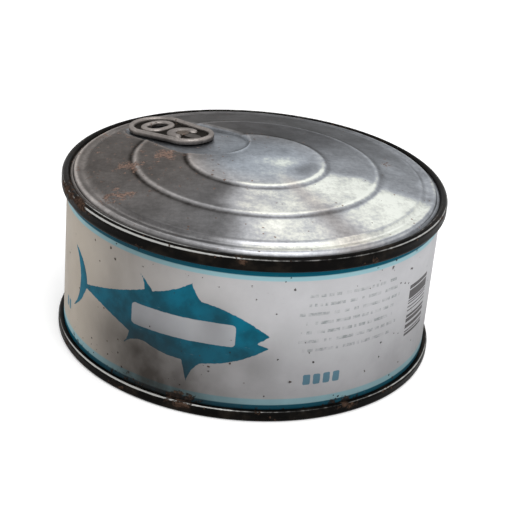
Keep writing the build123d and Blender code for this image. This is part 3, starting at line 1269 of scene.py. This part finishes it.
@dataclass(frozen=True)
class PaintedLidSheen:
    """Painted reflection, highlight and shade on the lid's steel: tiers and steps, bead and crest, and disc.

    The edges of the bright sector are turns from its azimuth, in degrees: where it starts, is full, starts
    to fade and ends. Inside the inner radii the inner shifts are added to them.
    """

    tiers: RoundLevel = RoundLevel(0.15, ((0.27, -10, 4), (-0.04, 85, 3)))
    sector: float = 0.62
    sector_azimuth: float = -60.0
    sector_edges: tuple[float, float, float, float] = (-50.0, -28.0, 33.0, 44.0)
    inner_shifts: tuple[float, float, float, float] = (-10.0, -8.0, 3.0, 5.0)
    inner_radii: Span = (28.0, 34.0)
    dip_direction: Span = (-63.0, 130.0)
    dip: float = 0.38
    inner_dip_loss: float = 0.24
    dip_end: Span = (43.5, 44.5)
    # painted shade at the steps' feet and painted highlight on their slopes
    step_feet: tuple[float, float, float] = (19.2, 33.5, 44.2)
    foot_spread: float = 0.4
    sector_foot: float = 0.4
    foot_dip_loss: float = 0.7
    step_slopes: Span = (18.3, 32.6)
    slope_spread: float = 0.36
    sector_slope: float = 0.22
    back_slope: RoundLevel = RoundLevel(0.0, ((0.22, 190, 1.5),))
    back_foot: RoundLevel = RoundLevel(0.0, ((0.07, 190, 1.5),))
    # painted highlights on the bead and the crest, painted light and shade on the chuck wall
    bead_radius: float = 45.7
    bead_spread: float = 0.6
    bead: float = 0.2
    sector_bead: float = 0.06
    crest: RoundLevel = RoundLevel(0.25, ((0.1, -70, 2), (0.28, 165, 2), (0.3, 25, 4)))
    crest_radius: float = 48.0
    crest_spread: float = 0.32
    chuck: RoundLevel = RoundLevel(0.05, ((0.34, -60, 2.5), (0.2, 70, 1.5)))
    chuck_radii: Span = (48.2, 48.8)
    # the disc: painted reflection brighter to one side, a painted highlight glow and a darker patch
    disc: float = 0.43
    disc_slant: float = 0.2
    slant_azimuth: float = -50.0
    slant_radius: float = 12.0
    glow: float = 0.3
    glow_centre: Span = (5.0, -1.8)
    glow_spread: Span = (4.2, 2.0)
    disc_darkening: RoundLevel = RoundLevel(0.0, ((0.36, -27, 9),))
    darkening_radius: float = 13.5
    darkening_spread: float = 2.6
    disc_end: Span = (16.8, 18.0)

    def on_tiers(self, angle: np.ndarray, radius: np.ndarray) -> np.ndarray:
        """The painted sheen outside the disc.

        A level round the lid is raised in one wide sector of painted reflection, which has a narrow dip and
        whose steps' feet and slopes are painted darker. At the back the slopes carry a painted highlight and
        the feet painted shade. The bead adds a painted highlight, the crest goes over to a painted highlight
        level of its own in a bell, and the chuck wall inside the seam to its own painted level in a ramp.

        Args:
            angle: Angles in radians.
            radius: Radii in millimetres.

        Returns:
            The polish.
        """
        inner = fading(*self.inner_radii, radius)
        turn = np.degrees(turn_from(self.sector_azimuth, angle))
        on, full, waning, off = (e + s * inner for e, s in zip(self.sector_edges, self.inner_shifts))
        sector = smoothstep(on, full, turn) * fading(waning, off, turn)
        dip = lobe(angle, *self.dip_direction)
        feet = sum(band(radius, foot, self.foot_spread) for foot in self.step_feet)
        slopes = sum(band(radius, slope, self.slope_spread) for slope in self.step_slopes)
        bead = band(radius, self.bead_radius, self.bead_spread)
        level = self.tiers.at(angle) + self.sector * sector
        level -= (self.dip - self.inner_dip_loss * inner) * dip * fading(*self.dip_end, radius)
        level -= self.sector_foot * sector * feet * (1 - self.foot_dip_loss * dip)
        level += self.back_slope.at(angle) * slopes - self.back_foot.at(angle) * feet
        level -= self.sector_slope * sector * slopes
        level += bead * (self.bead + self.sector_bead * sector)
        level += band(radius, self.crest_radius, self.crest_spread) * (self.crest.at(angle) - level)
        return level + smoothstep(*self.chuck_radii, radius) * (self.chuck.at(angle) - level)

    def on_disc(self, angle: np.ndarray, radius: np.ndarray) -> np.ndarray:
        """The painted sheen of the middle disc.

        Its painted reflection brightens evenly to one side, with an oval painted highlight near its centre
        and a darker patch beside it.

        Args:
            angle: Angles in radians.
            radius: Radii in millimetres.

        Returns:
            The polish.
        """
        x, y = radius * np.cos(angle), radius * np.sin(angle)
        (cx, cy), (sx, sy) = self.glow_centre, self.glow_spread
        slant = np.cos(angle - math.radians(self.slant_azimuth)) * np.minimum(radius / self.slant_radius, 1)
        glow = bell(((x - cx) / sx) ** 2 + ((y - cy) / sy) ** 2)
        disc_darkening = self.disc_darkening.at(angle) * band(radius, self.darkening_radius, self.darkening_spread)
        return self.disc + self.disc_slant * slant + self.glow * glow - disc_darkening

    def at(self, angle: np.ndarray, radius: np.ndarray) -> np.ndarray:
        """The painted sheen at each angle and radius, from 0 to 1, the disc's going over to the tiers'."""
        middle = fading(*self.disc_end, radius)
        return middle * self.on_disc(angle, radius) + (1 - middle) * self.on_tiers(angle, radius)


@dataclass
class LidPanel:
    """The stamped panel of the lid inside its seam: bead, groove, three rising tiers and the tab's well."""

    place: TabPlace
    corners: tuple[Corner, ...] = (
        (49.3, 44.45, 0), (48.9, 44.2, 0.3), (48.0, 45.7, 0.7), (45.5, 45.25, 0.9), (44.3, 46.36, 0.5),
        (43.6, 46.32, 0.4), (33.2, 47.85, 0.5), (32.15, 48.4, 0.35), (31.4, 48.38, 0.4), (18.9, 49.35, 0.5),
        (17.85, 49.9, 0.35), (17.2, 49.86, 0.4), (0.3, 50.4, 0),
    )
    well: TaperedSlot = TaperedSlot(9.5, 9.0, -8.6, 11.3)
    well_draft: float = 0.84
    well_blend: float = 0.09
    rim_radii: Span = (46.5, 47.5)
    columns: int = 460
    spacing: float = 0.28
    crowding: float = 0.55
    gauge: float = 0.3
    under_rows: int = 6
    wave_depth: float = 0.02
    wave_lengths: tuple[float, float, float] = (3.1, 4.3, 3.7)
    wave_bend: float = 0.4
    dents: tuple[Patch, ...] = (
        Patch(-18, 4.9, 5.5, 5.5, 0.22), Patch(200, 39, 5, 4, 0.16), Patch(-60, 26, 6, 5, 0.12),
        Patch(80, 38, 6, 4, 0.12), Patch(-10, 25, 5, 4, 0.1),
    )
    # the painted reflection, highlight and shade laid into the steel's brightness
    lid_sheen_pattern: PaintedLidSheen = PaintedLidSheen()
    sunk_depths: Span = (0.05, 0.4)
    # inside the well the painted sheen is one flat level
    sunk_sheen_level: float = 0.34
    relief_spread: float = 0.85
    relief_columns: float = 2.0
    relief_depth: float = 0.1
    relief_limits: Span = (-0.5, 1.0)
    rim_relief_loss: float = 0.75
    rim_relief_radii: Span = (42.5, 44.0)
    warmth: RoundLevel = RoundLevel(0.0, ((0.7, 170, 0.9), (0.3, -63, 130)))
    warm_radii: Span = (8.0, 20.0)
    sunk_warmth_loss: float = 0.8
    rust: RoundLevel = RoundLevel(0.05, ((0.22, 180, 1.2),))
    rusted: tuple[Patch, ...] = (
        Patch(175, 24.5, 1.8, 2.6, 0.24), Patch(9, 37, 2.6, 2.2, 0.32), Patch(211, 41.5, 3.5, 1.8, 0.28),
        Patch(187, 34, 2.5, 1.6, 0.2), Patch(70, 31, 3.5, 1.4, 0.2), Patch(172, 36, 12, 6, 0.05),
        Patch(205, 33, 11, 7, 0.04), Patch(150, 44, 12, 4, 0.08), Patch(90, 42, 15, 4, 0.1),
    )
    finish: SteelFinish = SteelFinish("lid_sheet")

    def dome(self, profile: np.ndarray, x: np.ndarray, y: np.ndarray) -> np.ndarray:
        """The panel's height without the well.

        It is the profile's height, less each dent's bell, plus a faint unevenness: a sine along Y times a
        sine along X, whose phase is bent by a sine along Y.

        Args:
            profile: Radius and height, one row for each row of places.
            x: Places.
            y: Places.

        Returns:
            The height at each place.
        """
        across, bend, along = self.wave_lengths
        waves = np.sin(x / across + self.wave_bend * np.sin(y / bend)) * np.sin(y / along + 1.0)
        return profile[:, 1:] - sum(dent.on_panel(x, y) for dent in self.dents) + self.wave_depth * waves

    def well_side(self, x: np.ndarray, y: np.ndarray) -> np.ndarray:
        """The height of the well's floor and drafted side.

        It is the floor's plane plus the distance outside the well's outline, over the draft.

        Args:
            x: Places.
            y: Places.

        Returns:
            The height at each place.
        """
        axes, origin = self.place.axes, self.place.origin
        offset = np.stack([x - origin[0], y - origin[1], 0 * x], axis=-1)
        floor = origin[2] - offset @ (axes[2] / axes[2][2])
        outside = np.maximum(self.well.distance(offset @ axes[0], offset @ axes[1]), 0)
        return floor + outside / self.well_draft

    def build(self) -> Piece:
        """Builds the panel: from the rim to the middle along the rows, round the can along the columns.

        The height is the smooth minimum of the dome and the well's side: the mean of the two, less half the
        root of their squared difference and the squared blend, plus half the blend. Near the rim it is the
        dome alone. Columns stand closest at the tab: an angle is the even angle less a share of its sine.
        Relief is the height over its own blurred surface, and is painted as highlight on crests and shade in
        hollows. The underside is a coarser copy, a gauge lower.

        Returns:
            The dressed panel.
        """
        profile = rounded_profile(self.corners, self.spacing)
        even = np.linspace(-np.pi, np.pi, self.columns, endpoint=False)
        turn = math.radians(self.place.azimuth) + even - self.crowding * np.sin(even)
        radius, angle = profile[:, :1] + 0 * turn, turn + 0 * profile[:, :1]
        x, y = radius * np.cos(angle), radius * np.sin(angle)
        dome, side = self.dome(profile, x, y), self.well_side(x, y)
        lower = (dome + side - np.sqrt((dome - side) ** 2 + self.well_blend ** 2)) / 2 + self.well_blend / 2
        rim = smoothstep(*self.rim_radii, radius)
        height = dome * rim + lower * (1 - rim)
        # relief: painted highlight on crests and painted shade in hollows, weaker near the rim
        relief = (height - blurred(height, self.relief_spread / self.spacing, self.relief_columns))
        relief *= (1 - self.rim_relief_loss * smoothstep(*self.rim_relief_radii, radius)) / self.relief_depth
        sunk = smoothstep(*self.sunk_depths, dome - height)
        warmth = self.warmth.at(angle) * smoothstep(*self.warm_radii, radius)
        values = {
            # painted sheen: painted reflection, highlight and shade; one flat level inside the well
            "painted_sheen": self.lid_sheen_pattern.at(angle, radius) * (1 - sunk) + self.sunk_sheen_level * sunk,
            "warmth": warmth * (1 - self.sunk_warmth_loss * sunk),
            "relief": np.clip(relief, *self.relief_limits),
            "rust": self.rust.at(angle) + sum(patch.on_panel(x, y) for patch in self.rusted),
        }
        points = np.stack([x, y, height], axis=-1)
        under = points[::-self.under_rows] - np.array([0, 0, self.gauge])
        values = {key: np.vstack([value[::-self.under_rows], value]) for key, value in values.items()}
        piece = grid_piece("lid_panel", np.vstack([under, points]), values, capped=True)
        return settle(piece, Slot.LID, self.finish.material(), "lid")


@dataclass
class BasePanel:
    """The recessed panel of the base, with flat rings that step up and down."""

    radius: float = 49.7
    edge: float = 0.9
    draft: float = 0.5
    floor: float = 2.4
    gauge: float = 0.3
    rounding: float = 0.5
    ring_radii: tuple[float, ...] = (39.9, 30.0, 20.1)
    ring_rise: float = 0.5
    ring_width: float = 1.2
    ring_rounding: float = 0.6
    hub: float = 0.3
    spacing: float = 0.35
    upper_rows: int = 4
    columns: int = 360
    # painted reflection: the steel brighter towards two sides
    painted_sheen: RoundLevel = RoundLevel(0.22, ((0.25, -70, 4), (0.15, 100, 6)))
    warmth: float = 0.5
    relief_blur: Span = (3.0, 1.0)
    relief_depth: float = 0.12
    rust: RoundLevel = RoundLevel(0.06, ((0.2, 200, 3),))
    rim_rust: float = 0.25
    rim_radii: Span = (44.0, 49.5)
    finish: SteelFinish = SteelFinish("base_sheet")

    def build(self) -> Piece:
        """Builds the panel as a thin shell, turned from a stepped profile, outer side down.

        The upper side is a coarser copy of the lower one, a gauge higher.

        Returns:
            The dressed panel.
        """
        corners = [(self.radius, self.edge, 0), (self.radius - self.draft, self.floor, self.rounding)]
        for index, ring in enumerate(self.ring_radii):
            low, high = (self.floor - self.ring_rise * ((index + k) % 2) for k in (0, 1))
            corners += [(ring, low, self.ring_rounding), (ring - self.ring_width, high, self.ring_rounding)]
        corners.append((self.hub, corners[-1][1], 0))
        profile = rounded_profile(corners, self.spacing)
        shell = np.vstack([profile[::-1], profile[::self.upper_rows] + np.array([0, self.gauge])])
        points = turned(shell, self.columns)
        angle, radius = np.arctan2(points[..., 1], points[..., 0]), np.hypot(points[..., 0], points[..., 1])
        height = points[..., 2]
        values = {
            "painted_sheen": self.painted_sheen.at(angle),
            "warmth": self.warmth + 0 * angle,
            # relief: painted highlight and shade along the rings' steps
            "relief": np.clip((blurred(height, *self.relief_blur) - height) / self.relief_depth, -1, 1),
            "rust": self.rust.at(angle) + self.rim_rust * smoothstep(*self.rim_radii, radius),
        }
        piece = grid_piece("base_panel", points, values, capped=True)
        return settle(piece, Slot.BASE, self.finish.material(), "base_end")


# ---------------------------------------------------------------- tab


@dataclass
class PullTab:
    """The stamped ring-pull tab: curled rim, thin web, collars and the tongue under the rivet."""

    place: TabPlace
    shape: TaperedSlot = TaperedSlot(9.5, 8.3, -2.3, 7.0)
    gap: float = 0.3
    thickness: float = 1.7
    curl_width: float = 1.55
    curl_power: float = 2.6
    curl_points: int = 28
    web_low: float = 0.7
    web_high: float = 1.05
    web_reach: float = 0.6
    web_rows: int = 16
    hole_length: float = 6.6
    hole_width: float = 4.4
    hole_offset: float = 9.7
    collar_width: float = 1.8
    collar_low: float = 0.35
    collar_top: float = 1.75
    collar_power: float = 3.0
    rivet_collar_radius: float = 3.23
    rivet_collar_width: float = 2.55
    rivet_collar_low: float = 0.6
    rivet_collar_gap: float = 105.0
    rivet_collar_power: float = 2.4
    rivet_collar_steps: int = 90
    tongue_centre: tuple[float, float, float] = (-3.6, 0.0, 1.1)
    tongue_half: tuple[float, float, float] = (2.5, 1.45, 0.28)
    tongue_power: float = 0.6
    tongue_steepest: float = 1.52
    tongue_rows: int = 25
    rivet_corners: tuple[Corner, ...] = (
        (1.2, 0.5, 0), (1.2, 1.05, 0.1), (1.85, 1.05, 0.15), (1.85, 1.5, 0.3), (1.2, 1.72, 0.3),
        (0.8, 1.5, 0.3), (0.05, 1.44, 0),
    )
    rivet_spacing: float = 0.1
    steps: int = 240
    small_steps: int = 72
    # lower parts keep this share of the painted sheen: the top is painted lighter
    shaded_lower_share: float = 0.7
    warmth: float = 0.7
    rust: float = 0.12
    rim_finish: SteelFinish = SteelFinish("tab_rim", roughness=0.45)
    web_finish: SteelFinish = SteelFinish("tab_recess", roughness=0.55)
    rivet_finish: SteelFinish = SteelFinish("rivet_steel", roughness=0.55)

    def dress(self, name: str, points: np.ndarray, finish: Material, *nodes: str, painted_sheen: float,
              capped: bool = False) -> Piece:
        """Makes one piece of the tab from points in the tab's frame.

        Args:
            name: Its name.
            points: Rows, columns and along, across, up.
            finish: Its material.
            *nodes: The nodes it replaces.
            painted_sheen: How bright its painted sheen is on top; lower parts keep a share of it, as painted
                shade.
            capped: Whether its first and last rows are closed, and don't join each other.

        Returns:
            The dressed piece.
        """
        up = points[..., 2]
        # the top painted lighter than the lower parts: painted light
        raised = smoothstep(self.thickness * 0.5, self.thickness, up)
        values = {
            "painted_sheen": painted_sheen * (self.shaded_lower_share + (1 - self.shaded_lower_share) * raised),
            "warmth": self.warmth + 0 * up,
            "relief": 0 * up,
            "rust": self.rust + 0 * up,
        }
        piece = grid_piece(name, self.place.put(points), values, capped=capped)
        return settle(piece, Slot.TAB, finish, *nodes)

    def rim(self) -> np.ndarray:
        """The curled edge.

        Returns:
            The grid of its points: a flattened tube round the outline.
        """
        size = (self.curl_width, self.gap, self.gap + self.thickness, self.curl_power)
        loop = self.shape.inset(self.curl_width / 2).loop(self.steps)
        return swept(loop, rounded_section(*size, self.curl_points))

    def web(self) -> np.ndarray:
        """The sunk plate between the rim and the finger hole.

        Both outlines are read at the same bearings from the hole's centre, and the plate's two sides go
        straight from one outline to the other.

        Returns:
            The grid of its points.
        """
        dense = 3 * self.steps
        hole = oval_loop(self.hole_length, self.hole_width, self.hole_offset, dense)
        outer = self.shape.inset(self.curl_width * self.web_reach).loop(dense)
        centre = np.array([self.hole_offset, 0.0])
        bearing = np.linspace(-np.pi, np.pi, self.steps, endpoint=False)
        edges = []
        for line in (hole.points, outer.points):
            offset = line - centre
            angle = np.arctan2(offset[:, 1], offset[:, 0])
            order = np.argsort(angle)
            reach = np.interp(bearing, angle[order], np.hypot(*offset[order].T), period=2 * np.pi)
            edges.append(centre + reach[:, None] * np.column_stack([np.cos(bearing), np.sin(bearing)]))
        inwards = np.linspace(1, 0, self.web_rows)
        share = np.concatenate([inwards, inwards[::-1]])[:, None, None]
        flat = edges[0][None] * (1 - share) + edges[1][None] * share
        level = np.repeat([self.web_high, self.web_low], self.web_rows)[:, None, None]
        return np.concatenate([flat, np.broadcast_to(level, flat.shape[:2] + (1,))], axis=-1)

    def collar(self) -> np.ndarray:
        """The raised oblong collar round the finger hole.

        Returns:
            The grid of its points: a squarish section swept round the hole.
        """
        length, width = (size + self.collar_width for size in (self.hole_length, self.hole_width))
        section = rounded_section(self.collar_width, self.collar_low, self.collar_top, self.collar_power)
        return swept(oval_loop(length, width, self.hole_offset, self.steps), section)

    def rivet_collar(self) -> np.ndarray:
        """The open round collar at the rivet: an arc whose section shrinks to nothing over its round ends.

        The section's scale is the root of one minus the squared share of the way into the end's half circle,
        and never less than a hundredth.

        Returns:
            The grid of its points.
        """
        half = math.radians((360 - self.rivet_collar_gap) / 2)
        angle = np.linspace(-half, half, self.rivet_collar_steps)
        out = np.column_stack([np.cos(angle), np.sin(angle)])
        to_end = (half - np.abs(angle)) * self.rivet_collar_radius / (self.rivet_collar_width / 2)
        fullness = np.sqrt(np.clip(1 - np.clip(1 - to_end, 0, 1) ** 2, 1e-4, 1))[None, :, None]
        section = rounded_section(self.rivet_collar_width, 0, 1, self.rivet_collar_power)
        flat = self.rivet_collar_radius * out[None] + section[:, None, :1] * fullness * out[None]
        rise = self.collar_top - self.rivet_collar_low
        up = self.rivet_collar_low + section[:, None, 1:] * fullness * rise
        return np.concatenate([flat, up], axis=-1).transpose(1, 0, 2)[::-1]

    def tongue(self) -> np.ndarray:
        """The tongue that runs from the rivet through the collar's gap.

        It is a low pillow: an ellipsoid whose sines and cosines are raised to a power, keeping their signs.

        Returns:
            The grid of its points.
        """
        rise = np.linspace(-self.tongue_steepest, self.tongue_steepest, self.tongue_rows)[:, None]
        around = np.linspace(0, 2 * np.pi, self.small_steps, endpoint=False)[None]
        ring = signed_power(np.cos(rise), self.tongue_power)
        unit = np.stack([
            ring * signed_power(np.cos(around), self.tongue_power),
            ring * signed_power(np.sin(around), self.tongue_power),
            signed_power(np.sin(rise), self.tongue_power) + 0 * around,
        ], axis=-1)
        return np.array(self.tongue_centre) + np.array(self.tongue_half) * unit

    def rivet(self) -> Piece:
        """The rivet's head: a low dome with a dimple, turned about the rivet's axis.

        Returns:
            The dressed head.
        """
        points = turned(rounded_profile(self.rivet_corners, self.rivet_spacing), self.small_steps)
        levels = {"painted_sheen": 0.16, "warmth": 1.0, "relief": 0.0, "rust": 0.34}
        values = {key: level + 0 * points[..., 0] for key, level in levels.items()}
        piece = grid_piece("rivet_head", self.place.put(points), values, capped=True)
        return settle(piece, Slot.LID, self.rivet_finish.material())

    def build(self) -> list[Piece]:
        """Builds the tab's pieces and the rivet's head.

        Returns:
            The dressed pieces.
        """
        rim, web = self.rim_finish.material(), self.web_finish.material()
        return [
            self.dress("tab_rim", self.rim(), rim, "pull_tab", painted_sheen=0.36),
            # the web's near-black is painted shade of the recess under the rim
            self.dress("tab_web", self.web(), web, painted_sheen=0.03),
            self.dress("tab_collar", self.collar(), rim, painted_sheen=0.4),
            self.dress("tab_rivet_collar", self.rivet_collar(), rim, painted_sheen=0.34, capped=True),
            self.dress("tab_tongue", self.tongue(), rim, painted_sheen=0.16, capped=True),
            self.rivet(),
        ]


# ---------------------------------------------------------------- studio


def direction(azimuth: float, elevation: float) -> Vector:
    """The unit vector at an azimuth and a height over the horizon, in degrees."""
    a, e = math.radians(azimuth), math.radians(elevation)
    return Vector((math.cos(a) * math.cos(e), math.sin(a) * math.cos(e), math.sin(e)))


@dataclass(frozen=True)
class Lamp:
    """A square soft lamp that faces the can; its distance and side are in metres, its power in watts."""

    name: str
    azimuth: float
    power: float
    elevation: float = 62.0
    reach: float = 1.6
    side: float = 1.2

    def build(self) -> None:
        """Adds the lamp."""
        data = bpy.data.lights.new(self.name, "AREA")
        data.energy, data.size = self.power, self.side
        away = direction(self.azimuth, self.elevation)
        turn = away.to_track_quat("Z", "Y").to_matrix().to_4x4()
        linked(self.name, data).matrix_world = Matrix.Translation(away * self.reach) @ turn


@dataclass(frozen=True)
class Studio:
    """A pale floor, soft lamps, an even surround and the camera."""

    heading: float = -6.405
    elevation: float = 25.554
    roll: float = 5.13
    distance: float = 370.8
    target: tuple[float, float, float] = (1.0, -8.7, 25.3)
    lens: float = 97.27
    sensor: float = 36.0
    clip: Span = (0.01, 20.0)
    floor_half: float = 4.0
    paper: Colour = (0.82, 0.82, 0.82)
    paper_lift: float = 0.32
    ambient: float = 0.62
    horizon: Span = (0.5, 1.0)
    overhead: Span = (0.85, 0.35)
    lamps: tuple[Lamp, ...] = (Lamp("key", -75.0, 16.0), Lamp("back", 80.0, 4.5))

    def camera(self) -> None:
        """Sets the camera on a sphere round its target; a positive roll lifts its right side."""
        back = direction(self.heading - 90, self.elevation)
        right = direction(self.heading, 0)
        up = back.cross(right)
        c, s = math.cos(math.radians(self.roll)), math.sin(math.radians(self.roll))
        turn = Matrix((right * c + up * s, up * c - right * s, back)).transposed().to_4x4()
        data = bpy.data.cameras.new("camera")
        data.lens, data.sensor_width = self.lens, self.sensor
        data.clip_start, data.clip_end = self.clip
        made = linked("camera", data)
        made.matrix_world = Matrix.Translation((Vector(self.target) + back * self.distance) * MM) @ turn
        bpy.context.scene.camera = made

    def world(self) -> None:
        """Lights all round evenly; what is seen directly or mirrored is white, and greyer overhead."""
        world = bpy.data.worlds.new("studio")
        draw = Graph(world)
        place = draw.add("ShaderNodeTexCoord").outputs["Generated"]
        height = draw.add("ShaderNodeSeparateXYZ", {0: place}).outputs[2]
        (low, start), (high, end) = self.horizon, self.overhead
        path = draw.add("ShaderNodeLightPath")
        seen = path.outputs["Is Camera Ray"]
        for other in ("Is Glossy Ray", "Is Transmission Ray"):
            seen = draw.math("MAXIMUM", seen, path.outputs[other])
        shown = draw.ramp(height, low, high, start, end)
        strength = draw.add("ShaderNodeMix", {0: seen, 2: self.ambient, 3: shown}).outputs[0]
        background = draw.add("ShaderNodeBackground", {"Color": (1.0, 1.0, 1.0), "Strength": strength})
        draw.add("ShaderNodeOutputWorld", {"Surface": background.outputs[0]})
        bpy.context.scene.world = world

    def floor(self) -> None:
        """Lays a large pale floor; seen directly it is lifted a little towards white and keeps the shadow."""
        half = self.floor_half
        corners = [(x, y, 0) for x, y in ((-half, -half), (half, -half), (half, half), (-half, half))]
        mesh = bpy.data.meshes.new("floor")
        mesh.from_pydata(corners, [], [(0, 1, 2, 3)])
        material = bpy.data.materials.new("floor_paper")
        draw = Graph(material)
        paper = draw.add("ShaderNodeBsdfDiffuse", {"Color": self.paper})
        seen = draw.add("ShaderNodeLightPath").outputs["Is Camera Ray"]
        lift = draw.add("ShaderNodeEmission", {"Strength": draw.times(seen, self.paper_lift)})
        both = draw.add("ShaderNodeAddShader", {0: paper.outputs[0], 1: lift.outputs[0]})
        draw.add("ShaderNodeOutputMaterial", {"Surface": both.outputs[0]})
        mesh.materials.append(material)
        made = linked("floor", mesh)

    def build(self) -> None:
        """Builds the whole studio and sets the plain colour transform."""
        bpy.context.scene.view_settings.view_transform = "Standard"
        self.world()
        self.floor()
        for lamp in self.lamps:
            lamp.build()
        self.camera()


def main() -> None:
    """Builds the can, sub-assembly by sub-assembly, then the studio round it."""
    logging.basicConfig(level=logging.INFO, format="%(name)s: %(message)s")
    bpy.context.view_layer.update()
    place = TabPlace()
    pieces = [PrintedWall().build(), LID_SEAM.build(), LidPanel(place).build(), BASE_SEAM.build()]
    pieces += [BasePanel().build(), *PullTab(place).build()]
    for piece in pieces:
        log.info("%s: %d faces", piece.name, len(piece.data.polygons))
    Studio().build()


if __name__ == "__main__":
    main()
